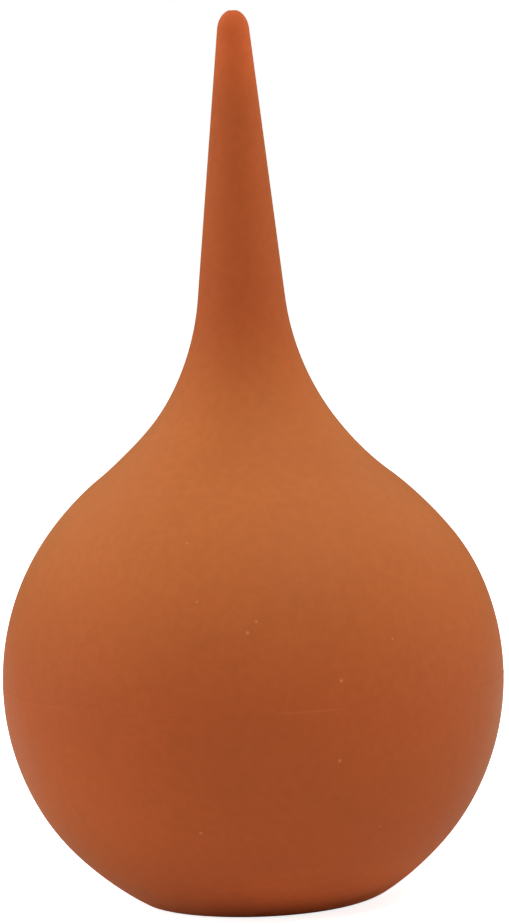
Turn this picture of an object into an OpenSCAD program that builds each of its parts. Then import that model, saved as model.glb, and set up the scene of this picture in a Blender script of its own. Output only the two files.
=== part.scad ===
// Ear syringe: a soft rubber bulb on a flat foot, with a long tapered nozzle.
// The bulb is moulded as two halves, cemented together along the parting line at its girth.
// A plug closes the hole that the lower half was stripped off its core through.
// Every piece is one profile turned about Z, in millimetres. Z = 0 is the face that it stands on.

/* [Bulb] */
// Outer diameter of the bulb at its girth
bulb_d = 60; // [56:0.5:66]
// Thickness of the rubber wall
wall = 2; // [1.6:0.1:2.5]
// Overall height, from the foot to the rim of the orifice
overall_h = 106.5; // [100:0.1:116]

/* [Nozzle] */
// Angle between the side of the nozzle and its axis
nozzle_taper = 5.9; // [5.4:0.05:6.5]
// Diameter of the tip, where its dome starts
tip_d = 3.85; // [3:0.05:4.5]
// Height that the dome would have without the orifice
tip_dome_h = 2.6; // [2:0.1:3.5]
// Diameter of the orifice through the tip
orifice_d = 0.8; // [0.6:0.1:1.4]
// Radius of the hollow curve that leads from the nozzle into the bulb
neck_r = 30.2; // [27:0.1:35]

/* [Foot] */
// Diameter of the flat that the bulb stands on
foot_flat_d = 25; // [21:0.5:27]
// Radius of the rounded edge between that flat and the bulb
foot_edge_r = 5; // [4:0.25:8]
// Width of the ring that touches the table
foot_ring_w = 3; // [2:0.25:4]
// Depth of the shallow hollow inside the ring
foot_recess = 0.5; // [0.2:0.1:1]
// Height of the inside of the floor above the table
floor_h = 3; // [2.4:0.1:4]

/* [Parting line] */
// Height of the tongue that the lower half pushes up inside the upper one
tongue_h = 3; // [2:0.25:5]
// Gap for the cement round the tongue and above it
cement_gap = 0.05; // [0.02:0.01:0.1]
// Height that the moulding bead stands proud of the bulb
bead_h = 0.04; // [0.02:0.01:0.2]
// Width of that bead, half of it on each side of the parting line
bead_w = 0.8; // [0.4:0.1:1.5]

/* [Plug] */
// Diameter of the hole in the floor
plug_hole_d = 8; // [6:0.5:10]
// Distance that the plug's flange reaches past the hole
plug_lip = 2; // [1:0.25:3]
// Thickness of the flange
plug_flange_t = 1.2; // [0.8:0.1:2]
// Radius of the flange's rounded rim
plug_rim_r = 0.5; // [0.2:0.1:0.7]
// Gap between the plug and the floor, all round the stem and under the flange
plug_gap = 0.05; // [0.02:0.01:0.1]

/* [Hidden] */

// Degrees between neighbouring points of a rounded stretch
arc_step = 3;
$fn = 120;

bulb_r = bulb_d / 2;
inner_r = bulb_r - wall;
foot_r = foot_flat_d / 2;
tip_r = tip_d / 2;
orifice_r = orifice_d / 2;
plug_hole_r = plug_hole_d / 2;

// The foot's rounded edge touches the table and the inside of the bulb's sphere, which sets the
// height of the sphere's centre and so of the girth.
girth_z = foot_edge_r + sqrt(pow(bulb_r - foot_edge_r, 2) - pow(foot_r, 2));
bulb_c = [0, girth_z];
foot_angle = atan2(foot_edge_r - girth_z, foot_r);

// The tip's dome is half an ellipse, cut off where the orifice comes out of it.
rim_angle = acos(orifice_r / tip_r);
tip_c = [0, overall_h - tip_dome_h * sin(rim_angle)];
dome_angle = atan(tip_dome_h / tip_r * tan(nozzle_taper));

// Directions square to the side of the nozzle and up along it, and that side's distance from Z = 0.
side_out = [cos(nozzle_taper), sin(nozzle_taper)];
side_up = [-sin(nozzle_taper), cos(nozzle_taper)];
side_d = tip_c.y * side_out.y + norm([tip_r * side_out.x, tip_dome_h * side_out.y]);

// The neck's circle touches the side of the nozzle and the outside of the bulb's sphere.
neck_out = neck_r + side_d - girth_z * side_out.y;
neck_up = sqrt(pow(bulb_r + neck_r, 2) - pow(neck_out, 2));
neck_c = bulb_c + neck_out * side_out + neck_up * side_up;
shoulder_angle = atan2(neck_c.y - girth_z, neck_c.x);

// Inside, the wall is followed up to where the passage has narrowed to the orifice.
bore_z = (side_d - wall - orifice_r * side_out.x) / side_out.y;

// The tongue takes the inner half of the wall, and its socket is the cement gap larger.
socket_r = bulb_r - wall / 2;
tongue_r = socket_r - cement_gap;
tongue_z = girth_z + tongue_h;
socket_z = tongue_z + cement_gap;
bead_point = [bulb_r + bead_h, girth_z];
bead_angle = asin(bead_w / 2 / bulb_r);

// The plug's stem fills the hole, and its flange lies on the floor.
stem_r = plug_hole_r - plug_gap;
flange_r = plug_hole_r + plug_lip;
flange_z = floor_h + plug_gap;
flange_rim_c = [flange_r - plug_rim_r, flange_z + plug_flange_t - plug_rim_r];

// Angle on the inside of the bulb's sphere at which the height is z
function inner_angle(z) = asin((z - girth_z) / inner_r);

// Points of the arc about c with radius r, from one angle to another
function arc(c, r, from, to) =
    let (steps = max(1, ceil(abs(to - from) / arc_step)))
    [for (i = [0 : steps])
        let (a = from + (to - from) * i / steps)
        c + r * [cos(a), sin(a)]];

// Points of the ellipse about c with half its width r and half its height h
function dome(c, r, h, from, to) =
    let (steps = max(1, ceil(abs(to - from) / arc_step)))
    [for (i = [0 : steps])
        let (a = from + (to - from) * i / steps)
        c + [r * cos(a), h * sin(a)]];

// An arc without its first point, for one that carries on from another
function arc_on(c, r, from, to) =
    let (points = arc(c, r, from, to))
    [for (i = [1 : len(points) - 1]) points[i]];

// Outside of the upper half, from the parting line to the rim of the orifice
upper_outside = concat(
    [bead_point],
    arc(bulb_c, bulb_r, bead_angle, shoulder_angle),
    arc_on(neck_c, neck_r, 180 + shoulder_angle, 180 + nozzle_taper),
    dome(tip_c, tip_r, tip_dome_h, dome_angle, rim_angle)
);

// Inside of the upper half, from the foot of the orifice's bore down to the tongue's socket
upper_inside = concat(
    [[orifice_r, bore_z]],
    arc(neck_c, neck_r + wall, 180 + nozzle_taper, 180 + shoulder_angle),
    arc_on(bulb_c, inner_r, shoulder_angle, inner_angle(socket_z)),
    [[socket_r, socket_z], [socket_r, girth_z]]
);

// Outside of the lower half, from the parting line round the foot to the plug's hole
lower_outside = concat(
    [bead_point],
    arc(bulb_c, bulb_r, -bead_angle, foot_angle),
    arc_on([foot_r, foot_edge_r], foot_edge_r, foot_angle, -90),
    [
        [foot_r - foot_ring_w, 0],
        [foot_r - foot_ring_w - foot_recess, foot_recess],
        [plug_hole_r, foot_recess]
    ]
);

// Inside of the lower half, from the plug's hole across the floor and up to the tongue
lower_inside = concat(
    [[plug_hole_r, floor_h]],
    arc(bulb_c, inner_r, inner_angle(floor_h), inner_angle(tongue_z)),
    [[tongue_r, tongue_z], [tongue_r, girth_z]]
);

// Half section of the plug: a stem with a round-rimmed flange on top
plug_section = concat(
    [[0, foot_recess], [stem_r, foot_recess], [stem_r, flange_z], [flange_r, flange_z]],
    arc(flange_rim_c, plug_rim_r, 0, 90),
    [[0, flange_z + plug_flange_t]]
);

module upper_shell() {
    color("#b4602f")
        rotate_extrude()
            polygon(concat(upper_outside, upper_inside));
}

module lower_cup() {
    color("#a9562b")
        rotate_extrude()
            polygon(concat(lower_outside, lower_inside));
}

module base_plug() {
    color("#8f4a28")
        rotate_extrude()
            polygon(plug_section);
}

upper_shell();
lower_cup();
base_plug();
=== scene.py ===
"""Ear syringe: a soft terracotta rubber bulb on a flat foot, with a long tapered nozzle.

The bulb is moulded in two halves that meet along a fine parting line at the girth, and a plug
closes the hole in its foot. Every wall is a closed half section carried round the Z axis, in
metres, and the halves share one slightly uneven shape, as a soft moulding has.
"""

import math

import bpy
import numpy as np
from bpy.props import FloatProperty, FloatVectorProperty, IntProperty, PointerProperty
from bpy.types import Operator, Panel, PropertyGroup
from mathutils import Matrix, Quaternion, Vector


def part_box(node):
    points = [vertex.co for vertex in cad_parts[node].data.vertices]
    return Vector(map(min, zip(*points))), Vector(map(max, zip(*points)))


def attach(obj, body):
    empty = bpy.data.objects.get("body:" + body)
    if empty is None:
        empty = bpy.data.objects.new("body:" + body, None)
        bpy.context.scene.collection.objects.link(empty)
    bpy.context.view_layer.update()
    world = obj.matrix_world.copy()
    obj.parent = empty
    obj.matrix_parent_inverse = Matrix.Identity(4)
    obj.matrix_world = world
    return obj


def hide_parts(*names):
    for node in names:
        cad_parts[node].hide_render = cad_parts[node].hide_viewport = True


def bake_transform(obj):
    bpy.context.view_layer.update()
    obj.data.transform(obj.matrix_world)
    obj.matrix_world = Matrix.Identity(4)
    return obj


bl_info = {
    "name": "Ear Syringe",
    "version": (1, 0, 0),
    "blender": (4, 5, 0),
    "location": "3D View > Sidebar > Ear Syringe",
    "description": "Builds a soft rubber ear syringe with its studio stage",
    "category": "Object",
}

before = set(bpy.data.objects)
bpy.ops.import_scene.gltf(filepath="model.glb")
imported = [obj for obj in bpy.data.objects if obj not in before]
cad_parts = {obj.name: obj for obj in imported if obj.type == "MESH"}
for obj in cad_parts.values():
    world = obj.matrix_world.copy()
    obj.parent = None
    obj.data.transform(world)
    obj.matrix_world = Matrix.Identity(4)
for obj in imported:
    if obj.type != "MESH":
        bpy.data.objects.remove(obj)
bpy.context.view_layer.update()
UPPER_LOW, UPPER_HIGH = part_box("upper_shell")
LOWER_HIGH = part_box("lower_cup")[1]
PLUG_LOW, PLUG_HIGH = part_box("base_plug")

REST_PLACE = "rest_place"
BULB_RUBBER = "terracotta_bulb"
PLUG_RUBBER = "terracotta_plug"
MILLIMETRE = 0.001


class SyringeSizes(PropertyGroup):
    """Sizes of the rubber walls that the frame's boxes don't give."""

    wall: FloatProperty(
        name="Wall", description="Thickness of the rubber wall",
        default=0.002, min=0.0016, max=0.0025, precision=5, unit="LENGTH",
    )
    taper: FloatProperty(
        name="Nozzle taper", description="Angle between the side of the nozzle and its axis",
        default=math.radians(5.9), min=math.radians(5.4), max=math.radians(6.5), subtype="ANGLE",
    )
    tip_diameter: FloatProperty(
        name="Tip diameter", description="Diameter of the tip, where its dome starts",
        default=0.00385, min=0.003, max=0.0045, precision=5, unit="LENGTH",
    )
    tip_dome: FloatProperty(
        name="Tip dome", description="Height that the dome would have without the orifice",
        default=0.0026, min=0.002, max=0.0035, precision=5, unit="LENGTH",
    )
    orifice_diameter: FloatProperty(
        name="Orifice diameter", description="Diameter of the orifice through the tip",
        default=0.0008, min=0.0006, max=0.0014, precision=5, unit="LENGTH",
    )
    orifice_edge: FloatProperty(
        name="Orifice edge", description="Radius that rounds the rim of the orifice",
        default=0.00007, min=0.00002, max=0.00008, precision=5, unit="LENGTH",
    )
    neck_radius: FloatProperty(
        name="Neck radius", description="Radius of the hollow curve from the nozzle into the bulb",
        default=0.0302, min=0.027, max=0.035, precision=5, unit="LENGTH",
    )
    bead_height: FloatProperty(
        name="Bead height", description="Height of the moulding bead where it stands tallest",
        default=0.00004, min=0.0, max=0.0002, precision=5, unit="LENGTH",
    )
    bead_reach: FloatProperty(
        name="Bead reach", description="Distance from the parting line at which the bead has faded",
        default=0.00016, min=0.00005, max=0.0005, precision=5, unit="LENGTH",
    )
    foot_edge: FloatProperty(
        name="Foot edge", description="Radius of the rounded edge of the foot, on the left",
        default=0.0025, min=0.002, max=0.009, precision=5, unit="LENGTH",
    )
    foot_edge_extra: FloatProperty(
        name="Softer foot edge", description="How much larger that radius is on the right",
        default=0.0054, min=0.0, max=0.006, precision=5, unit="LENGTH",
    )
    ring_width: FloatProperty(
        name="Foot ring", description="Width of the ring that touches the table",
        default=0.003, min=0.002, max=0.004, precision=5, unit="LENGTH",
    )
    floor_height: FloatProperty(
        name="Floor height", description="Height of the inside of the floor above the table",
        default=0.003, min=0.0024, max=0.004, precision=5, unit="LENGTH",
    )
    cement_gap: FloatProperty(
        name="Cement gap", description="Gap for the cement round the tongue",
        default=0.00005, min=0.00002, max=0.0001, precision=5, unit="LENGTH",
    )
    plug_lip: FloatProperty(
        name="Plug lip", description="Distance that the plug's flange reaches past its hole",
        default=0.002, min=0.001, max=0.003, precision=5, unit="LENGTH",
    )
    plug_gap: FloatProperty(
        name="Plug gap", description="Gap between the plug and the floor",
        default=0.00005, min=0.00002, max=0.0001, precision=5, unit="LENGTH",
    )
    plug_rim: FloatProperty(
        name="Plug rim", description="Radius of the flange's rounded rim",
        default=0.0005, min=0.0002, max=0.0007, precision=5, unit="LENGTH",
    )
    edge_round: FloatProperty(
        name="Edge rounding", description="Radius that softens the moulded edges under the foot",
        default=0.00025, min=0.0001, max=0.0005, precision=5, unit="LENGTH",
    )
    columns: IntProperty(
        name="Columns", description="Number of columns of faces round the axis",
        default=288, min=96, max=384,
    )


class SyringeUnevenness(PropertyGroup):
    """Small departures of the soft moulding from a perfectly round one."""

    left_swell: FloatProperty(
        name="Left swell", description="How far the left shoulder stands out",
        default=0.00045, min=0.0, max=0.001, precision=5, unit="LENGTH",
    )
    left_height: FloatProperty(
        name="Left swell height", description="Height of that swell's middle",
        default=0.0532, min=0.048, max=0.058, precision=5, unit="LENGTH",
    )
    left_reach: FloatProperty(
        name="Left swell reach", description="Distance up and down in which the swell fades",
        default=0.0038, min=0.002, max=0.008, precision=5, unit="LENGTH",
    )
    right_dip: FloatProperty(
        name="Right dip", description="How far the right shoulder is drawn in",
        default=0.00047, min=0.0, max=0.001, precision=5, unit="LENGTH",
    )
    right_height: FloatProperty(
        name="Right dip height", description="Height of that dip's middle",
        default=0.0478, min=0.044, max=0.054, precision=5, unit="LENGTH",
    )
    right_reach: FloatProperty(
        name="Right dip reach", description="Distance up and down in which the dip fades",
        default=0.0049, min=0.002, max=0.008, precision=5, unit="LENGTH",
    )
    foot_shift: FloatProperty(
        name="Foot shift", description="How far the foot sits to the right of the axis",
        default=0.00017, min=0.0, max=0.0005, precision=5, unit="LENGTH",
    )
    foot_reach: FloatProperty(
        name="Foot shift reach", description="Height in which that shift fades",
        default=0.006, min=0.002, max=0.01, precision=5, unit="LENGTH",
    )
    foot_pinch: FloatProperty(
        name="Foot pinch", description="How much narrower than a sphere the bulb is over its foot",
        default=0.011, min=0.0, max=0.03, subtype="FACTOR",
    )
    pinch_height: FloatProperty(
        name="Pinch height", description="Height at which the bulb is pinched most",
        default=0.003, min=0.001, max=0.006, precision=5, unit="LENGTH",
    )
    pinch_reach: FloatProperty(
        name="Pinch reach", description="Distance up and down in which the pinch fades",
        default=0.004, min=0.002, max=0.008, precision=5, unit="LENGTH",
    )


class SyringeFinish(PropertyGroup):
    """Colours and surface of the rubber."""

    rubber: FloatVectorProperty(
        name="Rubber", description="Colour of the bulb's rubber", subtype="COLOR", size=3,
        default=(0.450, 0.0941, 0.0246), min=0.0, max=1.0,
    )
    # Painted highlight: the shoulder's colour is painted paler and more golden in place of the
    # light that falls on it from above.
    rubber_painted_highlight: FloatVectorProperty(
        name="Faded rubber", description="Colour of the shoulder, which faces up and has faded",
        subtype="COLOR", size=3, default=(0.517, 0.1413, 0.0370), min=0.0, max=1.0,
    )
    # Painted light: the tip's colour is painted brighter in place of the light that shines through
    # and round the thin tip.
    rubber_painted_tip_light: FloatVectorProperty(
        name="Rubbed rubber", description="Colour of the tip, which handling has rubbed brighter",
        subtype="COLOR", size=3, default=(0.567, 0.110, 0.0298), min=0.0, max=1.0,
    )
    # Painted light: patches round the foot are painted brighter in place of the light that the
    # table bounces up under the foot.
    rubber_painted_bounce: FloatVectorProperty(
        name="Scuffed rubber", description="Colour of the scuffed patches round the foot",
        subtype="COLOR", size=3, default=(0.572, 0.1200, 0.0320), min=0.0, max=1.0,
    )
    mottle: FloatProperty(
        name="Mottle", description="How much brighter the rubber is in its paler clouds",
        default=0.036, min=0.0, max=0.2, subtype="FACTOR",
    )
    grain: FloatProperty(
        name="Grain", description="How much the rubber's fine grain brightens and darkens it",
        default=0.025, min=0.0, max=0.1, subtype="FACTOR",
    )
    # Painted highlight: the parting line's crest is painted paler in stretches where the bead
    # catches the light from above.
    bead: FloatVectorProperty(
        name="Parting line", description="Colour of the rubbed crest of the parting line",
        subtype="COLOR", size=3, default=(0.56, 0.15, 0.045), min=0.0, max=1.0,
    )
    fleck: FloatVectorProperty(
        name="Fleck", description="Colour of the pale specks in the rubber", subtype="COLOR",
        size=3, default=(0.80, 0.34, 0.17), min=0.0, max=1.0,
    )
    plug: FloatVectorProperty(
        name="Plug", description="Colour of the plug's rubber", subtype="COLOR", size=3,
        default=(0.36, 0.075, 0.017), min=0.0, max=1.0,
    )
    roughness: FloatProperty(
        name="Roughness", description="Roughness of the moulded surface",
        default=0.55, min=0.2, max=1.0, subtype="FACTOR",
    )
    sheen: FloatProperty(
        name="Sheen", description="Strength of the soft bloom seen at a slant",
        default=0.08, min=0.0, max=1.0, subtype="FACTOR",
    )
    sheen_tint: FloatVectorProperty(
        name="Sheen tint", description="Colour of that bloom", subtype="COLOR", size=3,
        default=(0.70, 0.95, 0.40), min=0.0, max=1.0,
    )


class SyringeStage(PropertyGroup):
    """Camera, floor and softboxes."""

    camera_distance: FloatProperty(
        name="Camera distance", description="Distance from the camera to the point it looks at",
        default=0.7, min=0.3, max=2.0, unit="LENGTH",
    )
    camera_elevation: FloatProperty(
        name="Camera elevation", description="Angle of the camera above the horizon",
        default=math.radians(5.88), subtype="ANGLE",
    )
    camera_roll: FloatProperty(
        name="Camera roll", description="Turn of the camera about its own line of sight",
        default=math.radians(1.773), subtype="ANGLE",
    )
    camera_aim: FloatVectorProperty(
        name="Camera aim", description="Point that the camera looks at", size=3,
        default=(0.00095, 0.0, 0.05264), precision=5, subtype="TRANSLATION", unit="LENGTH",
    )
    lens: FloatProperty(
        name="Lens", description="Focal length on a sensor 36 mm along its long side",
        default=228.5, min=50.0, max=400.0, unit="CAMERA",
    )
    light_level: FloatProperty(
        name="Light level", description="Multiplies the power of every softbox",
        default=1.0, min=0.0, max=10.0,
    )
    softbox_distance: FloatProperty(
        name="Softbox distance", description="Distance of each softbox from the bulb",
        default=0.6, min=0.3, max=2.0, unit="LENGTH",
    )
    softbox_width: FloatProperty(
        name="Softbox width", description="Width of each softbox", default=0.36, unit="LENGTH",
    )
    softbox_height: FloatProperty(
        name="Softbox height", description="Height of each softbox", default=0.30, unit="LENGTH",
    )
    floor_fill: FloatProperty(
        name="Floor whiteness", description="What the floor shows on top of its own lit surface",
        default=0.85, min=0.0, max=1.0, subtype="FACTOR",
    )
    fill_start: FloatProperty(
        name="Fill start", description="Distance from the foot at which the floor grows whiter",
        default=0.12, min=0.0, max=1.0, unit="LENGTH",
    )
    fill_end: FloatProperty(
        name="Fill end", description="Distance from the foot at which the floor is fully white",
        default=0.6, min=0.1, max=3.0, unit="LENGTH",
    )
    floor_size: FloatProperty(
        name="Floor", description="Side of the square floor", default=30.0, unit="LENGTH",
    )


# Distances in metres between neighbouring points of a half section, and the power that crowds
# the points of the bulb's outside at its girth, where the bead is.
BULB_SPACING = 0.0004
NECK_SPACING = 0.0006
NOZZLE_SPACING = 0.0022
BORE_SPACING = 0.003
PASSAGE_SPACING = 0.004
INSIDE_SPACING = 0.0015
FLOOR_SPACING = 0.002
JOINT_SPACING = 0.001
PLUG_SPACING = 0.0006
PLUG_SIDE_SPACING = 0.0003
PLUG_RIM_SPACING = 0.00008
PLUG_TOP_SPACING = 0.0008
GIRTH_CROWDING = 1.6

# Steps along the tip's dome, a rounded corner, the lower half's outside and the foot's edge.
DOME_STEPS = 20
CORNER_STEPS = 5
LOWER_STEPS = 110
FOOT_EDGE_STEPS = 26

# The bulb has this many times the plug's columns, and a disc of this radius closes each of the
# plug's ends.
PLUG_COLUMN_SHARE = 3
PLUG_DISC = 0.0004

# Level of the parting bead's crest, and the share, count round the bulb and phase of each of its
# waves. The level and the shares sum to 1.
CREST_LEVEL = 0.52
CREST_WAVES = ((0.26, 3, 0.9), (0.22, 7, 2.1))

# Edges between faces that turn by more than this are shaded sharp.
SHARP_EDGE = math.radians(38)


def on_circle(centre, radius, angle):
    """The point centre + radius * (cos angle, sin angle) of the half section."""
    return np.asarray(centre) + radius * np.array([math.cos(angle), math.sin(angle)])


def straight(start, end, spacing):
    """Points of a line from start to end in the half section, start included and end left out.

    point(t) = start + t * (end - start), with t in equal steps of about the spacing.
    """
    start, end = np.asarray(start, float), np.asarray(end, float)
    count = max(1, math.ceil(np.linalg.norm(end - start) / spacing))
    t = np.arange(count)[:, None] / count
    return start + t * (end - start)


def oval(centre, half_width, half_height, start, end, steps):
    """Points of an ellipse in the half section, both ends included.

    point(a) = centre + (half_width * cos a, half_height * sin a), a in equal steps.
    """
    a = np.linspace(start, end, steps + 1)
    return np.stack(
        [centre[0] + half_width * np.cos(a), centre[1] + half_height * np.sin(a)], axis=-1
    )


def arc(centre, radius, start, end, spacing, grading=1.0):
    """Points of a circular arc in the half section, start included and end left out.

    point(t) = centre + radius * (cos a, sin a), where a runs from start to end as t to the
    power of the grading, so that a grading over 1 crowds the points at the start.
    """
    count = max(2, math.ceil(abs(end - start) * radius / spacing))
    t = (np.arange(count) / count) ** grading
    a = start + t * (end - start)
    return np.stack([centre[0] + radius * np.cos(a), centre[1] + radius * np.sin(a)], axis=-1)


def rounded_corner(before, corner, after, radius):
    """Points of the small arc that rounds a corner of the half section.

    The arc touches both sides, so it starts at radius over the tangent of half the corner's
    angle from the corner, and its centre lies on the line that halves that angle.
    """
    corner = np.asarray(corner, float)
    to_before = np.asarray(before, float) - corner
    to_after = np.asarray(after, float) - corner
    to_before /= np.linalg.norm(to_before)
    to_after /= np.linalg.norm(to_after)
    half = math.acos(float(np.clip(to_before @ to_after, -1.0, 1.0))) / 2
    middle = to_before + to_after
    centre = corner + middle / np.linalg.norm(middle) * radius / math.sin(half)
    first = corner + to_before * radius / math.tan(half) - centre
    last = corner + to_after * radius / math.tan(half) - centre
    start = math.atan2(first[1], first[0])
    turn = (math.atan2(last[1], last[0]) - start + math.pi) % (2 * math.pi) - math.pi
    a = start + turn * np.linspace(0.0, 1.0, CORNER_STEPS + 1)
    return centre + radius * np.stack([np.cos(a), np.sin(a)], axis=-1)


def section_values(sizes):
    """Radii, centres and angles of the half section, from the frame's boxes and the sizes.

    The neck's circle touches both the bulb's sphere and the straight side of the nozzle, so its
    centre lies on the nozzle's parallel and at the two radii's sum from the bulb's centre. The
    side touches the ellipse of the tip's dome, which is cut off at the orifice.
    """
    v = {"girth": UPPER_LOW.z, "bulb": UPPER_HIGH.x - sizes.bead_height}
    v["inner"] = v["bulb"] - sizes.wall
    v["tip"] = sizes.tip_diameter / 2
    v["orifice"] = sizes.orifice_diameter / 2
    v["dome"] = sizes.tip_dome
    v["tip_z"] = UPPER_HIGH.z - v["dome"] * math.sqrt(1 - (v["orifice"] / v["tip"]) ** 2)
    out = np.array([math.cos(sizes.taper), math.sin(sizes.taper)])
    up = np.array([-out[1], out[0]])
    side = v["tip_z"] * out[1] + math.hypot(v["tip"] * out[0], v["dome"] * out[1])
    across = sizes.neck_radius + side - v["girth"] * out[1]
    along = math.sqrt((v["bulb"] + sizes.neck_radius) ** 2 - across**2)
    v["neck"] = np.array([0.0, v["girth"]]) + across * out + along * up
    v["shoulder"] = math.atan2(v["neck"][1] - v["girth"], v["neck"][0])
    v["bore_z"] = (side - sizes.wall - v["orifice"] * out[0]) / out[1]
    v["tongue_z"] = LOWER_HIGH.z
    v["socket"] = v["bulb"] - sizes.wall / 2
    v["hole"] = PLUG_HIGH.x - sizes.plug_lip
    return v


def inner_angle(v, z):
    """Angle on the inside of the bulb at height z, whose sine is the height over the radius."""
    return math.asin((z - v["girth"]) / v["inner"])


def bell(z, middle, reach):
    """Bell curve of the height, e to the power of minus the square of (z - middle) / reach."""
    return np.exp(-(((z - middle) / reach) ** 2))


def facing(azimuth, way):
    """1 at the right and 0 at the left where the way is 1, and the other way round where it's -1.

    It is the square of 0.5 + 0.5 * way * cos azimuth.
    """
    return (0.5 + 0.5 * way * np.cos(azimuth)) ** 2


def bead_profile(sizes, azimuth, z, girth):
    """Height of the parting bead: a bell curve over the distance from the girth.

    Its crest rises and falls round the bulb as a level and two cosines, as a worn mould line
    does.
    """
    waves = (share * np.cos(count * azimuth + phase) for share, count, phase in CREST_WAVES)
    crest = sum(waves, start=CREST_LEVEL)
    return sizes.bead_height * crest * bell(z, girth, sizes.bead_reach)


def uneven(u, points, azimuth):
    """Moves points sideways by the soft moulding's own unevenness, u.

    A swell on the left shoulder and a dip on the right one are bell curves of the height times
    how far the azimuth faces that way. The foot leans right as a bell curve, and over it the
    bulb is narrowed by a factor of 1 less a bell curve.
    """
    z = points[..., 2]
    swell = u.left_swell * facing(azimuth, -1) * bell(z, u.left_height, u.left_reach)
    dip = u.right_dip * facing(azimuth, 1) * bell(z, u.right_height, u.right_reach)
    shift = u.foot_shift * bell(z, 0.0, u.foot_reach)
    pinch = u.foot_pinch * bell(z, u.pinch_height, u.pinch_reach)
    moved = points.copy()
    moved[..., :2] *= (1 - pinch)[..., None]
    moved[..., 0] += (swell - dip) * np.cos(azimuth) + shift
    moved[..., 1] += (swell - dip) * np.sin(azimuth)
    return moved


def with_bead(sizes, unevenness, v, points, azimuth):
    """Pushes the outside out by the parting bead, then makes the whole grid uneven.

    Points inside the wall's middle stay, because the bead's height is multiplied by a step there.
    """
    radius = np.hypot(points[..., 0], points[..., 1])
    outside = radius > v["socket"] + sizes.cement_gap
    height = bead_profile(sizes, azimuth, points[..., 2], v["girth"]) * outside
    moved = points.copy()
    moved[..., 0] += height * np.cos(azimuth)
    moved[..., 1] += height * np.sin(azimuth)
    return uneven(unevenness, moved, azimuth)


def foot_section(sizes, v, azimuth):
    """Outer radius of the foot's flat, and the radius of its rounded edge, at each azimuth.

    The edge touches both the table and the bulb's sphere, so the flat's radius squared is
    (bulb - edge) squared less (girth - edge) squared.
    """
    edge = sizes.foot_edge + sizes.foot_edge_extra * facing(azimuth, 1)
    flat = np.sqrt((v["bulb"] - edge) ** 2 - (v["girth"] - edge) ** 2)
    return flat, edge


def azimuths(columns):
    """One azimuth for each column, as a column of numbers."""
    return (np.arange(columns) * 2 * math.pi / columns)[:, None]


def carried_round(section, columns, azimuth):
    """Grid of points of a half section carried round the Z axis.

    point = (r cos azimuth, r sin azimuth, z), with r and z from the section, which is either one
    row of points for all azimuths or one row for each.
    """
    rows = np.broadcast_to(section, (columns,) + section.shape[-2:])
    r, z = rows[..., 0], rows[..., 1]
    return np.stack([r * np.cos(azimuth), r * np.sin(azimuth), z], axis=-1)


def upper_points(sizes, unevenness, v):
    """Grid of the upper half: up the outside to the orifice, down the bore and the inside."""
    a = azimuths(sizes.columns)
    bulb_centre = [0.0, v["girth"]]
    dome_angle = math.atan(v["dome"] / v["tip"] * math.tan(sizes.taper))
    rim_angle = math.acos(v["orifice"] / v["tip"])
    dome = oval([0.0, v["tip_z"]], v["tip"], v["dome"], dome_angle, rim_angle, DOME_STEPS)
    inside_start = [v["orifice"], v["bore_z"]]
    rim = rounded_corner(dome[-2], dome[-1], inside_start, sizes.orifice_edge)
    turned = math.pi + v["shoulder"]
    taper = math.pi + sizes.taper
    neck = sizes.neck_radius
    neck_end = on_circle(v["neck"], neck, taper)
    inner_neck_end = on_circle(v["neck"], neck + sizes.wall, taper)
    socket_z = v["tongue_z"] + sizes.cement_gap
    socket_angle = inner_angle(v, socket_z)
    socket_start = on_circle(bulb_centre, v["inner"], socket_angle)
    socket_top = [v["socket"], socket_z]
    socket_low = [v["socket"], v["girth"]]
    section = np.concatenate([
        arc(bulb_centre, v["bulb"], 0.0, v["shoulder"], BULB_SPACING, GIRTH_CROWDING),
        arc(v["neck"], neck, turned, taper, NECK_SPACING),
        straight(neck_end, dome[0], NOZZLE_SPACING),
        dome[:-1],
        rim[:-1],
        straight(rim[-1], inside_start, BORE_SPACING),
        straight(inside_start, inner_neck_end, PASSAGE_SPACING),
        arc(v["neck"], neck + sizes.wall, taper, turned, INSIDE_SPACING),
        arc(bulb_centre, v["inner"], v["shoulder"], socket_angle, INSIDE_SPACING),
        straight(socket_start, socket_top, JOINT_SPACING),
        straight(socket_top, socket_low, JOINT_SPACING),
        straight(socket_low, [v["bulb"], v["girth"]], JOINT_SPACING),
    ])
    points = carried_round(section, sizes.columns, a)
    return with_bead(sizes, unevenness, v, points, a)


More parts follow.
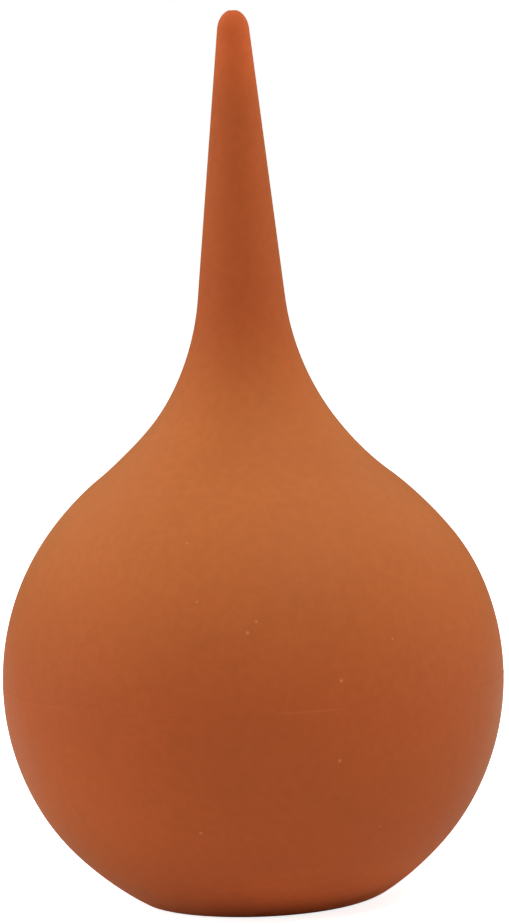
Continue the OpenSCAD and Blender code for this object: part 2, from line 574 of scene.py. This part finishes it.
def lower_points(sizes, unevenness, v):
    """Grid of the lower half: down the outside, under the foot, up the plug's hole and the inside.

    The rounded edge of the foot changes round the bulb, so the outside has a row of points for
    each azimuth, and every other stretch is the same for all.
    """
    a = azimuths(sizes.columns)
    flat, edge = foot_section(sizes, v, a)
    foot_angle = np.arctan2(edge - v["girth"], flat)
    sphere = (np.arange(LOWER_STEPS) / LOWER_STEPS) ** GIRTH_CROWDING * foot_angle
    turn = foot_angle + np.arange(FOOT_EDGE_STEPS) / FOOT_EDGE_STEPS * (-math.pi / 2 - foot_angle)
    outside_r = np.concatenate([v["bulb"] * np.cos(sphere), flat + edge * np.cos(turn)], axis=1)
    outside_z = np.concatenate(
        [v["girth"] + v["bulb"] * np.sin(sphere), edge + edge * np.sin(turn)], axis=1
    )
    outside = np.stack([outside_r, outside_z], axis=-1)
    ring_outer = np.stack([flat, np.zeros_like(flat)], axis=-1)
    inner_foot = float(np.min(flat)) - sizes.ring_width
    recess = PLUG_LOW.z
    bulb_centre = [0.0, v["girth"]]
    beyond_ring = [inner_foot + sizes.ring_width, 0.0]
    ring_inner = [inner_foot, 0.0]
    recess_outer = [inner_foot - recess, recess]
    hole_low = [v["hole"], recess]
    hole_top = [v["hole"], sizes.floor_height]
    low, high = inner_angle(v, sizes.floor_height), inner_angle(v, v["tongue_z"])
    floor_end = on_circle(bulb_centre, v["inner"], low)
    tongue_in = on_circle(bulb_centre, v["inner"], high)
    tongue = v["socket"] - sizes.cement_gap
    tongue_top = [tongue, v["tongue_z"]]
    tongue_low = [tongue, v["girth"]]
    underside = np.concatenate([
        rounded_corner(beyond_ring, ring_inner, recess_outer, sizes.edge_round),
        rounded_corner(ring_inner, recess_outer, hole_low, sizes.edge_round),
        rounded_corner(recess_outer, hole_low, hole_top, sizes.edge_round),
        straight(hole_top, floor_end, FLOOR_SPACING),
        arc(bulb_centre, v["inner"], low, high, INSIDE_SPACING),
        straight(tongue_in, tongue_top, JOINT_SPACING),
        straight(tongue_top, tongue_low, JOINT_SPACING),
        straight(tongue_low, [v["bulb"], v["girth"]], JOINT_SPACING),
    ])
    underside = np.broadcast_to(underside, (sizes.columns,) + underside.shape)
    section = np.concatenate([outside, ring_outer, underside], axis=1)
    points = carried_round(section, sizes.columns, a)
    return with_bead(sizes, unevenness, v, points, a)


def plug_points(sizes, unevenness, v):
    """Grid of the plug: the stem's flat end, the stem, the flange's underside, rim and top."""
    columns = sizes.columns // PLUG_COLUMN_SHARE
    a = azimuths(columns)
    stem = v["hole"] - sizes.plug_gap
    low, high = PLUG_LOW.z, PLUG_HIGH.z
    flange = PLUG_HIGH.x
    under = sizes.floor_height + sizes.plug_gap
    rim = [flange - sizes.plug_rim, high - sizes.plug_rim]
    soft = sizes.edge_round
    section = np.concatenate([
        straight([PLUG_DISC, low], [stem - 2 * soft, low], PLUG_SPACING),
        rounded_corner([0.0, low], [stem, low], [stem, under], soft),
        straight([stem, under], [flange, under], PLUG_SPACING),
        straight([flange, under], [flange, rim[1]], PLUG_SIDE_SPACING),
        arc(rim, sizes.plug_rim, 0.0, math.pi / 2, PLUG_RIM_SPACING),
        straight([rim[0], high], [PLUG_DISC, high], PLUG_TOP_SPACING),
        [[PLUG_DISC, high]],
    ])
    return uneven(unevenness, carried_round(section, columns, a), a)


def tube_mesh(name, points, closed_section=True):
    """Mesh of a grid of points whose columns close on themselves round the axis.

    Face (i, j) joins points (i, j), (i + 1, j), (i + 1, j + 1) and (i, j + 1), with i round the
    axis and j along the section. A section that is open is closed by a disc at each end.
    """
    columns, rows = points.shape[:2]
    index = np.arange(columns * rows).reshape(columns, rows)
    across = np.roll(index, -1, axis=0)
    along = np.roll(index, -1, axis=1)
    corner = np.roll(across, -1, axis=1)
    quads = np.stack([index, across, corner, along], axis=-1)
    if not closed_section:
        quads = quads[:, :-1]
    faces = quads.reshape(-1, 4).tolist()
    if not closed_section:
        faces.append(index[::-1, 0].tolist())
        faces.append(index[:, -1].tolist())
    mesh = bpy.data.meshes.new(name)
    mesh.from_pydata(points.reshape(-1, 3).tolist(), [], faces)
    mesh.validate()
    mesh.update()
    return mesh


def vertex_places(mesh):
    """Places of the mesh's points, as one row of numbers."""
    places = np.empty(len(mesh.vertices) * 3, np.float32)
    mesh.vertices.foreach_get("co", places)
    return places


def signed_volume(mesh):
    """Volume inside the mesh, a sixth of the sum of the faces' triple products.

    It is over 0 if the faces point outwards.
    """
    mesh.calc_loop_triangles()
    corners = np.empty(len(mesh.loop_triangles) * 3, np.int32)
    mesh.loop_triangles.foreach_get("vertices", corners)
    triangles = vertex_places(mesh).reshape(-1, 3)[corners.reshape(-1, 3)].astype(float)
    a, b, c = np.moveaxis(triangles, 1, 0)
    return float(np.einsum("ij,ij->", a, np.cross(b, c)) / 6)


def finish_mesh(mesh):
    """Smooth shading with sharp moulded edges, outward faces, and each point's place at rest."""
    mesh.shade_smooth()
    mesh.set_sharp_from_angle(angle=SHARP_EDGE)
    attribute = mesh.attributes.new(REST_PLACE, "FLOAT_VECTOR", "POINT")
    attribute.data.foreach_set("vector", vertex_places(mesh))
    if signed_volume(mesh) < 0:
        mesh.flip_normals()
    return mesh


def put_in_scene(name, mesh, material):
    """A new object for the mesh, at the origin, with its material."""
    piece = bpy.data.objects.new(name, mesh)
    bpy.context.scene.collection.objects.link(piece)
    mesh.materials.append(material)
    return piece


# Values that a smooth step runs between, upwards and downwards.
RISING = (0.0, 1.0)
FALLING = (1.0, 0.0)

# A Mix node's colour inputs and output, by their places in its lists.
MIX_BELOW, MIX_ABOVE, MIX_COLOUR = 6, 7, 2

# Cells to a metre and levels of detail of each pattern in the rubber, and how much each level
# keeps of the one before.
CLOUD = (90.0, 3.0)
GRAIN = (900.0, 2.0)
PATCH = (160.0, 2.0)
STIPPLE = (2600.0, 2.0)
RIPPLE = (260.0, 2.0)
PATTERN_ROUGHNESS = 0.55

# Values of the clouds and the grain that count as their lowest and highest.
CLOUD_RANGE = (0.30, 0.70)
GRAIN_RANGE = (0.35, 0.65)

# Heights in metres between which the shoulder's painted highlight comes on and goes off, the
# tip's painted light comes on, and the foot's painted bounce light goes off.
SHOULDER_LIGHT_ON = (0.024, 0.050)
SHOULDER_LIGHT_OFF = (0.056, 0.072)
TIP_LIGHT_ON = (0.094, 0.103)
FOOT_BOUNCE_OFF = (0.002, 0.0085)

# The patches' values that count as lowest and highest where the foot is painted brighter, and
# how strong that painted bounce light is there.
FOOT_BOUNCE_PATCHES = (0.35, 0.65)
FOOT_BOUNCE_STRENGTHS = (0.6, 1.0)

# Distances from the girth between which the parting line's painted highlight fades, the patches'
# values that count as lowest and highest along it, and how strong that highlight is there.
LINE_FADING = (0.00004, 0.00018)
LINE_PATCHES = (0.46, 0.66)
LINE_STRENGTHS = (0.02, 0.10)

# Start and end along X, distance in which each end fades, and strength of the stretches of the
# parting line's painted highlight.
LINE_HIGHLIGHT_STRETCHES = (
    (0.0026, 0.0094, 0.0012, 0.30),
    (-0.0137, -0.0080, 0.0016, 0.08),
)

# Azimuth in degrees, height and radius in millimetres of the pale specks that catch the eye.
FLECKS = (
    (-90.9, 35.9, 0.15),
    (-88.8, 37.1, 0.13),
    (-70.1, 29.95, 0.15),
    (-70.7, 20.6, 0.15),
    (-104.5, 12.3, 0.14),
    (-56.0, 34.1, 0.10),
    (-57.0, 11.8, 0.10),
    (-103.2, 39.4, 0.10),
    (-108.0, 45.7, 0.10),
    (38.0, 33.0, 0.12),
    (64.0, 45.0, 0.10),
    (97.0, 21.5, 0.14),
    (131.0, 14.0, 0.11),
    (152.0, 38.0, 0.12),
    (-163.0, 24.0, 0.11),
)

# Strength of a speck's colour at its middle, and how many of its radii it takes to fade.
FLECK_STRENGTH = 0.42
FLECK_REACH = 2.2

# How far the roughness swings with the clouds, gloss of the rubber, spread of its bloom, and
# strength and height in metres of its bumps.
ROUGHNESS_SWING = 0.05
GLOSS = 0.05
SHEEN_ROUGHNESS = 0.5
BUMP_STRENGTH = 0.28
BUMP_HEIGHT = 0.00006


def node(tree, kind, place, **values):
    """A shader node of that kind at that place, with its properties set."""
    made = tree.nodes.new(kind)
    made.location = place
    for name, value in values.items():
        setattr(made, name, value)
    return made


def new_material(name):
    """A material with an empty node tree, a Principled shader and its output."""
    material = bpy.data.materials.new(name)
    material.use_nodes = True
    tree = material.node_tree
    tree.nodes.clear()
    shader = node(tree, "ShaderNodeBsdfPrincipled", (400, 0))
    output = node(tree, "ShaderNodeOutputMaterial", (700, 0))
    tree.links.new(shader.outputs["BSDF"], output.inputs["Surface"])
    return material, tree, shader


def noise(tree, coordinates, pattern, place):
    """Noise read at the coordinates, its pattern given as cells to a metre and detail."""
    scale, detail = pattern
    made = node(tree, "ShaderNodeTexNoise", place)
    made.inputs["Scale"].default_value = scale
    made.inputs["Detail"].default_value = detail
    made.inputs["Roughness"].default_value = PATTERN_ROUGHNESS
    tree.links.new(coordinates, made.inputs["Vector"])
    return made.outputs["Fac"]


def ranged(tree, value, given, wanted, place):
    """The value moved by a smooth step from the given range to the wanted one."""
    made = node(tree, "ShaderNodeMapRange", place, interpolation_type="SMOOTHSTEP")
    made.inputs["From Min"].default_value, made.inputs["From Max"].default_value = given
    made.inputs["To Min"].default_value, made.inputs["To Max"].default_value = wanted
    tree.links.new(value, made.inputs["Value"])
    return made.outputs["Result"]


def worked(tree, operation, a, b, place):
    """Two numbers or sockets put together by a Math node."""
    made = node(tree, "ShaderNodeMath", place, operation=operation)
    for socket, value in zip(made.inputs, (a, b)):
        if isinstance(value, (int, float)):
            socket.default_value = value
        else:
            tree.links.new(value, socket)
    return made.outputs["Value"]


def coloured(tree, factor, below, above, place):
    """A mix of two colours, each a colour or a socket, by the factor."""
    made = node(tree, "ShaderNodeMix", place, data_type="RGBA")
    tree.links.new(factor, made.inputs["Factor"])
    for number, value in ((MIX_BELOW, below), (MIX_ABOVE, above)):
        if isinstance(value, bpy.types.NodeSocket):
            tree.links.new(value, made.inputs[number])
        else:
            made.inputs[number].default_value = (*value, 1.0)
    return made.outputs[MIX_COLOUR]


def scaled(tree, colour, amount, place):
    """A colour, or a socket that brings one, times an amount."""
    made = node(tree, "ShaderNodeVectorMath", place, operation="SCALE")
    if isinstance(colour, bpy.types.NodeSocket):
        tree.links.new(colour, made.inputs[0])
    else:
        made.inputs[0].default_value = colour
    tree.links.new(amount, made.inputs["Scale"])
    return made.outputs["Vector"]


def fleck_mask(tree, where, girth, sphere):
    """Strength of the specks at a point, the largest over small round spots on the bulb.

    A spot's middle lies on the bulb's sphere at its azimuth and height, and its strength falls
    smoothly from FLECK_STRENGTH there to 0 at FLECK_REACH times its radius.
    """
    total = None
    for number, (azimuth, height, radius) in enumerate(FLECKS):
        row = -400 - 160 * number
        z = height * MILLIMETRE
        r = math.sqrt(sphere**2 - (z - girth) ** 2)
        a = math.radians(azimuth)
        made = node(tree, "ShaderNodeVectorMath", (-900, row), operation="DISTANCE")
        tree.links.new(where, made.inputs[0])
        made.inputs[1].default_value = (r * math.cos(a), r * math.sin(a), z)
        reach = FLECK_REACH * radius * MILLIMETRE
        spot = ranged(tree, made.outputs["Value"], (0.0, reach), (FLECK_STRENGTH, 0.0), (-700, row))
        total = spot if total is None else worked(tree, "MAXIMUM", total, spot, (-500, row))
    return total


def coloured_by_height(tree, height, patch, colour, finish):
    """The rubber's colour from the foot to the tip, with painted light on the shoulder, tip and
    foot.

    The shoulder's painted highlight, in place of the light from above, is the product of two
    smooth steps of the height: one rises from below the girth to the shoulder, and one falls
    along the neck. The tip is painted brighter above a step of the height, in place of the light
    through the thin rubber, and the foot is painted brighter in patches below one, in place of
    the light bounced up from the table.
    """
    # Painted highlight on the shoulder, in place of the light that falls on it from above.
    rise = ranged(tree, height, SHOULDER_LIGHT_ON, RISING, (-1000, 600))
    fall = ranged(tree, height, SHOULDER_LIGHT_OFF, FALLING, (-1000, 850))
    faded = worked(tree, "MULTIPLY", rise, fall, (-800, 700))
    shade = coloured(tree, faded, colour, tuple(finish.rubber_painted_highlight), (-600, 600))
    # Painted light on the tip, in place of the light that shines through the thin rubber.
    painted_light = ranged(tree, height, TIP_LIGHT_ON, RISING, (-800, 950))
    shade = coloured(tree, painted_light, shade, tuple(finish.rubber_painted_tip_light), (-400, 600))
    # Painted bounce light on the foot, in patches, in place of the light that the table throws up.
    low = ranged(tree, height, FOOT_BOUNCE_OFF, FALLING, (-800, 1200))
    patchy = ranged(tree, patch, FOOT_BOUNCE_PATCHES, FOOT_BOUNCE_STRENGTHS, (-800, 1450))
    painted_bounce = worked(tree, "MULTIPLY", low, patchy, (-600, 1200))
    return coloured(tree, painted_bounce, shade, tuple(finish.rubber_painted_bounce), (-200, 600))


def line_highlight_stretches(tree, side, patch):
    """How strong the parting line's painted highlight is along X: one bright stretch, a fainter
    one, and patches.

    A stretch is the product of a smooth step up at its start and one down at its end, and the
    result is the largest of the two stretches and the patches between them.
    """
    made = ranged(tree, patch, LINE_PATCHES, LINE_STRENGTHS, (-950, -250))
    for number, (start, end, fade, strength) in enumerate(LINE_HIGHLIGHT_STRETCHES):
        row = -450 - 300 * number
        rise = ranged(tree, side, (start - fade, start + fade), (0.0, strength), (-1900, row))
        fall = ranged(tree, side, (end - fade, end + fade), FALLING, (-1900, row - 150))
        stretch = worked(tree, "MULTIPLY", rise, fall, (-1700, row))
        made = worked(tree, "MAXIMUM", made, stretch, (-1500, row))
    return made


def bulb_colour_with_painted_light(tree, where, colour, amount, finish, girth, sphere):
    """The bulb's colour: painted light by height, uneven by the amount, with its parting line and
    specks.

    The parting line's painted highlight is a smooth step down with the distance from the girth,
    times how strong that highlight is there.
    """
    parts = node(tree, "ShaderNodeSeparateXYZ", (-1200, -100))
    tree.links.new(where, parts.inputs["Vector"])
    height = parts.outputs["Z"]
    patch = noise(tree, where, PATCH, (-1200, -250))
    shade = coloured_by_height(tree, height, patch, colour, finish)
    shade = scaled(tree, shade, amount, (-400, 300))
    # Painted highlight along the parting line's crest, where the bead catches the light from above.
    off = worked(tree, "SUBTRACT", height, girth, (-1000, -100))
    away = worked(tree, "ABSOLUTE", off, 0.0, (-850, -100))
    line = ranged(tree, away, LINE_FADING, FALLING, (-700, -100))
    broken = line_highlight_stretches(tree, parts.outputs["X"], patch)
    painted_light = worked(tree, "MULTIPLY", line, broken, (-500, -100))
    shade = coloured(tree, painted_light, shade, tuple(finish.bead), (-200, 200))
    specks = fleck_mask(tree, where, girth, sphere)
    return coloured(tree, specks, shade, tuple(finish.fleck), (0, 200))


def rubber_material(name, colour, finish, bulb=None):
    """Matte moulded rubber: soft mottling, a fine grain and stipple and a faint bloom.

    Patterns read each point's place at rest, so that they follow the wall when it is squeezed.
    Where the bulb's girth and radius are given, its painted light by height, the parting line's
    painted highlight and its specks are added.
    """
    material, tree, shader = new_material(name)
    place = node(tree, "ShaderNodeAttribute", (-1500, 0), attribute_name=REST_PLACE)
    where = place.outputs["Vector"]
    cloud = noise(tree, where, CLOUD, (-1200, 300))
    grain = noise(tree, where, GRAIN, (-1200, 100))
    paler = (1.0, 1.0 + finish.mottle)
    either = (1.0 - finish.grain, 1.0 + finish.grain)
    mottle = ranged(tree, cloud, CLOUD_RANGE, paler, (-950, 300))
    speckle = ranged(tree, grain, GRAIN_RANGE, either, (-950, 100))
    amount = worked(tree, "MULTIPLY", mottle, speckle, (-700, 200))
    if bulb:
        shade = bulb_colour_with_painted_light(tree, where, colour, amount, finish, *bulb)
    else:
        shade = scaled(tree, colour, amount, (-400, 300))
    tree.links.new(shade, shader.inputs["Base Color"])
    swing = (finish.roughness - ROUGHNESS_SWING, finish.roughness + ROUGHNESS_SWING)
    rough = ranged(tree, cloud, CLOUD_RANGE, swing, (-200, -200))
    tree.links.new(rough, shader.inputs["Roughness"])
    shader.inputs["Specular IOR Level"].default_value = GLOSS
    shader.inputs["Sheen Weight"].default_value = finish.sheen
    shader.inputs["Sheen Roughness"].default_value = SHEEN_ROUGHNESS
    shader.inputs["Sheen Tint"].default_value = (*finish.sheen_tint, 1.0)
    stipple = noise(tree, where, STIPPLE, (-600, -350))
    ripple = noise(tree, where, RIPPLE, (-600, -500))
    both = worked(tree, "ADD", stipple, ripple, (-300, -400))
    bump = node(tree, "ShaderNodeBump", (100, -350))
    bump.inputs["Strength"].default_value = BUMP_STRENGTH
    bump.inputs["Distance"].default_value = BUMP_HEIGHT
    tree.links.new(both, bump.inputs["Height"])
    tree.links.new(bump.outputs["Normal"], shader.inputs["Normal"])
    return material


def settings():
    """The scene's own groups of sizes, unevenness, finish and stage values."""
    scene = bpy.context.scene
    return (
        scene.syringe_sizes, scene.syringe_unevenness, scene.syringe_finish, scene.syringe_stage,
    )


def bulb_rubber(finish, v):
    """The rubber shared by both halves of the bulb, made once.

    Its name differs from the slot's, because the frame brings a plain material of that name.
    """
    found = bpy.data.materials.get(BULB_RUBBER)
    if found:
        return found
    return rubber_material(BULB_RUBBER, tuple(finish.rubber), finish, (v["girth"], v["bulb"]))


class SYRINGE_OT_upper_half(Operator):
    """Build the upper half of the bulb, with its neck and nozzle"""

    bl_idname = "syringe.upper_half"
    bl_label = "Upper Half"

    def execute(self, context):
        sizes, unevenness, finish, _ = settings()
        v = section_values(sizes)
        mesh = finish_mesh(tube_mesh("bulb_upper", upper_points(sizes, unevenness, v)))
        piece = put_in_scene("bulb_upper", mesh, bulb_rubber(finish, v))
        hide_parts("upper_shell")
        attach(piece, "upper_half")
        return {"FINISHED"}


class SYRINGE_OT_lower_half(Operator):
    """Build the lower half of the bulb, with its foot"""

    bl_idname = "syringe.lower_half"
    bl_label = "Lower Half"

    def execute(self, context):
        sizes, unevenness, finish, _ = settings()
        v = section_values(sizes)
        mesh = finish_mesh(tube_mesh("bulb_lower", lower_points(sizes, unevenness, v)))
        piece = put_in_scene("bulb_lower", mesh, bulb_rubber(finish, v))
        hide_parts("lower_cup")
        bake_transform(piece)
        return {"FINISHED"}


class SYRINGE_OT_foot_plug(Operator):
    """Build the plug that closes the hole in the foot"""

    bl_idname = "syringe.foot_plug"
    bl_label = "Foot Plug"

    def execute(self, context):
        sizes, unevenness, finish, _ = settings()
        v = section_values(sizes)
        points = plug_points(sizes, unevenness, v)
        mesh = finish_mesh(tube_mesh("foot_plug", points, closed_section=False))
        material = rubber_material(PLUG_RUBBER, tuple(finish.plug), finish)
        piece = put_in_scene("foot_plug", mesh, material)
        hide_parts("base_plug")
        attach(piece, "lower_half")
        return {"FINISHED"}


WHITE = (1.0, 1.0, 1.0, 1.0)
FLOOR_PAPER = (0.93, 0.93, 0.93, 1.0)

# Distance in metres that the floor lies under the foot, so that the two never share a plane.
FLOOR_DEPTH = 0.00002

# Point that the softboxes stand round and face.
LIT_POINT = (0.0, 0.0, 0.045)

# Name, azimuth from the camera and elevation in degrees, height as a share of the stage's softbox
# height, and power in watts of each softbox.
SOFTBOXES = (
    ("high_front_right", 45.0, 60.0, 1.0, 2.00),
    ("front_left", -45.0, 32.0, 1.0, 0.67),
    ("high_right", 90.0, 60.0, 1.0, 0.38),
    ("side_right", 90.0, 32.0, 1.0, 0.20),
    ("low_right", 90.0, 8.0, 0.67, 0.62),
    ("side_left", -90.0, 34.0, 1.0, 0.85),
    ("low_left", -90.0, 8.0, 0.67, 0.78),
    ("back_left", -135.0, 32.0, 1.0, 0.38),
    ("back_right", 135.0, 32.0, 1.0, 0.38),
    ("high_back_left", -135.0, 60.0, 1.0, 0.41),
    ("high_back_right", 135.0, 60.0, 1.0, 0.16),
)

# Long side of the camera's sensor in millimetres, and the range that it sees in metres.
SENSOR = 36.0
NEAREST = 0.01
FARTHEST = 100.0


def floor_material(stage):
    """A pale floor that shows the syringe's soft shadow and is white elsewhere.

    The floor's own lit surface is topped up to white only for what the camera sees, and more so
    beyond the softboxes' reach.
    """
    material = bpy.data.materials.new("studio_floor")
    material.use_nodes = True
    tree = material.node_tree
    tree.nodes.clear()
    paper = node(tree, "ShaderNodeBsdfDiffuse", (0, 100))
    paper.inputs["Color"].default_value = FLOOR_PAPER
    glow = node(tree, "ShaderNodeEmission", (0, -100))
    glow.inputs["Color"].default_value = WHITE
    path = node(tree, "ShaderNodeLightPath", (-600, -100))
    spot = node(tree, "ShaderNodeTexCoord", (-900, -350))
    reach = node(tree, "ShaderNodeVectorMath", (-700, -350), operation="LENGTH")
    tree.links.new(spot.outputs["Object"], reach.inputs[0])
    ring = (stage.fill_start, stage.fill_end)
    fill = ranged(tree, reach.outputs["Value"], ring, (stage.floor_fill, 1.0), (-500, -350))
    level = worked(tree, "MULTIPLY", path.outputs["Is Camera Ray"], fill, (-120, -100))
    tree.links.new(level, glow.inputs["Strength"])
    both = node(tree, "ShaderNodeAddShader", (250, 0))
    output = node(tree, "ShaderNodeOutputMaterial", (450, 0))
    tree.links.new(paper.outputs["BSDF"], both.inputs[0])
    tree.links.new(glow.outputs["Emission"], both.inputs[1])
    tree.links.new(both.outputs["Shader"], output.inputs["Surface"])
    return material


def build_floor(stage):
    """A large level floor just under the foot, as one square."""
    half = stage.floor_size / 2
    square = ((-half, -half), (half, -half), (half, half), (-half, half))
    mesh = bpy.data.meshes.new("studio_floor")
    mesh.from_pydata([(x, y, -FLOOR_DEPTH) for x, y in square], [], [(0, 1, 2, 3)])
    mesh.update()
    put_in_scene("studio_floor", mesh, floor_material(stage))


def build_surround():
    """A surround that looks white behind the syringe and adds no light of its own."""
    world = bpy.data.worlds.new("studio_surround")
    bpy.context.scene.world = world
    world.use_nodes = True
    tree = world.node_tree
    tree.nodes.clear()
    path = node(tree, "ShaderNodeLightPath", (-300, 0))
    white = node(tree, "ShaderNodeBackground", (200, 0))
    output = node(tree, "ShaderNodeOutputWorld", (450, 0))
    tree.links.new(path.outputs["Is Camera Ray"], white.inputs["Strength"])
    tree.links.new(white.outputs["Background"], output.inputs["Surface"])
    white.inputs["Color"].default_value = WHITE


def softbox(name, place, aim, width, height, power):
    """A rectangular softbox at a place, turned to face its aim."""
    data = bpy.data.lights.new(name, "AREA")
    data.shape = "RECTANGLE"
    data.size = width
    data.size_y = height
    data.energy = power
    light = bpy.data.objects.new(name, data)
    bpy.context.scene.collection.objects.link(light)
    light.location = place
    light.rotation_euler = (aim - place).to_track_quat("-Z", "Y").to_euler()


def build_lights(stage):
    """Softboxes on a dome round the bulb, with none straight in front.

    A softbox stands at middle + distance * (sin a cos e, -cos a cos e, sin e), where a is its
    azimuth from the camera and e its elevation.
    """
    middle = Vector(LIT_POINT)
    for name, azimuth, elevation, share, power in SOFTBOXES:
        a, e = math.radians(azimuth), math.radians(elevation)
        way = Vector((math.sin(a) * math.cos(e), -math.cos(a) * math.cos(e), math.sin(e)))
        softbox(
            name, middle + stage.softbox_distance * way, middle,
            stage.softbox_width, stage.softbox_height * share, power * stage.light_level,
        )


def build_camera(stage):
    """A long lens that looks slightly down at the syringe, a little turned about its line of sight.

    The camera stands at its aim plus the distance times (0, -cos e, sin e), e the elevation.
    """
    data = bpy.data.cameras.new("camera")
    data.lens = stage.lens
    data.sensor_fit = "AUTO"
    data.sensor_width = SENSOR
    data.clip_start = NEAREST
    data.clip_end = FARTHEST
    camera = bpy.data.objects.new("camera", data)
    bpy.context.scene.collection.objects.link(camera)
    back = Vector((0.0, -math.cos(stage.camera_elevation), math.sin(stage.camera_elevation)))
    camera.location = Vector(stage.camera_aim) + stage.camera_distance * back
    level = (-back).to_track_quat("-Z", "Y")
    roll = Quaternion((0.0, 0.0, 1.0), -stage.camera_roll)
    camera.rotation_mode = "QUATERNION"
    camera.rotation_quaternion = level @ roll
    bpy.context.scene.camera = camera


class SYRINGE_OT_stage(Operator):
    """Build the camera, floor, surround and softboxes"""

    bl_idname = "syringe.stage"
    bl_label = "Stage"

    def execute(self, context):
        _, _, _, stage = settings()
        build_camera(stage)
        build_floor(stage)
        build_surround()
        build_lights(stage)
        context.scene.view_settings.view_transform = "Standard"
        return {"FINISHED"}


class SYRINGE_PT_sidebar(Panel):
    """Lists the syringe's operators and the values that they read"""

    bl_label = "Ear Syringe"
    bl_idname = "SYRINGE_PT_sidebar"
    bl_space_type = "VIEW_3D"
    bl_region_type = "UI"
    bl_category = "Ear Syringe"

    def draw(self, context):
        layout = self.layout
        for operator in OPERATORS:
            layout.operator(operator.bl_idname)
        for title, group in zip(("Sizes", "Unevenness", "Finish", "Stage"), settings()):
            box = layout.box()
            box.label(text=title)
            for name in group.bl_rna.properties.keys():
                if name not in {"rna_type", "name"}:
                    box.prop(group, name)


GROUPS = (
    ("syringe_sizes", SyringeSizes),
    ("syringe_unevenness", SyringeUnevenness),
    ("syringe_finish", SyringeFinish),
    ("syringe_stage", SyringeStage),
)
OPERATORS = (
    SYRINGE_OT_stage,
    SYRINGE_OT_upper_half,
    SYRINGE_OT_lower_half,
    SYRINGE_OT_foot_plug,
)


def register():
    """Registers the value groups, the operators and the panel."""
    for name, group in GROUPS:
        bpy.utils.register_class(group)
        setattr(bpy.types.Scene, name, PointerProperty(type=group))
    for operator in OPERATORS:
        bpy.utils.register_class(operator)
    bpy.utils.register_class(SYRINGE_PT_sidebar)


def unregister():
    """Undoes what register did, in the opposite order."""
    bpy.utils.unregister_class(SYRINGE_PT_sidebar)
    for operator in reversed(OPERATORS):
        bpy.utils.unregister_class(operator)
    for name, group in reversed(GROUPS):
        delattr(bpy.types.Scene, name)
        bpy.utils.unregister_class(group)


def main():
    """Registers the classes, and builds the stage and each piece."""
    register()
    bpy.ops.syringe.stage()
    bpy.ops.syringe.upper_half()
    bpy.ops.syringe.lower_half()
    bpy.ops.syringe.foot_plug()


if __name__ == "__main__":
    main()
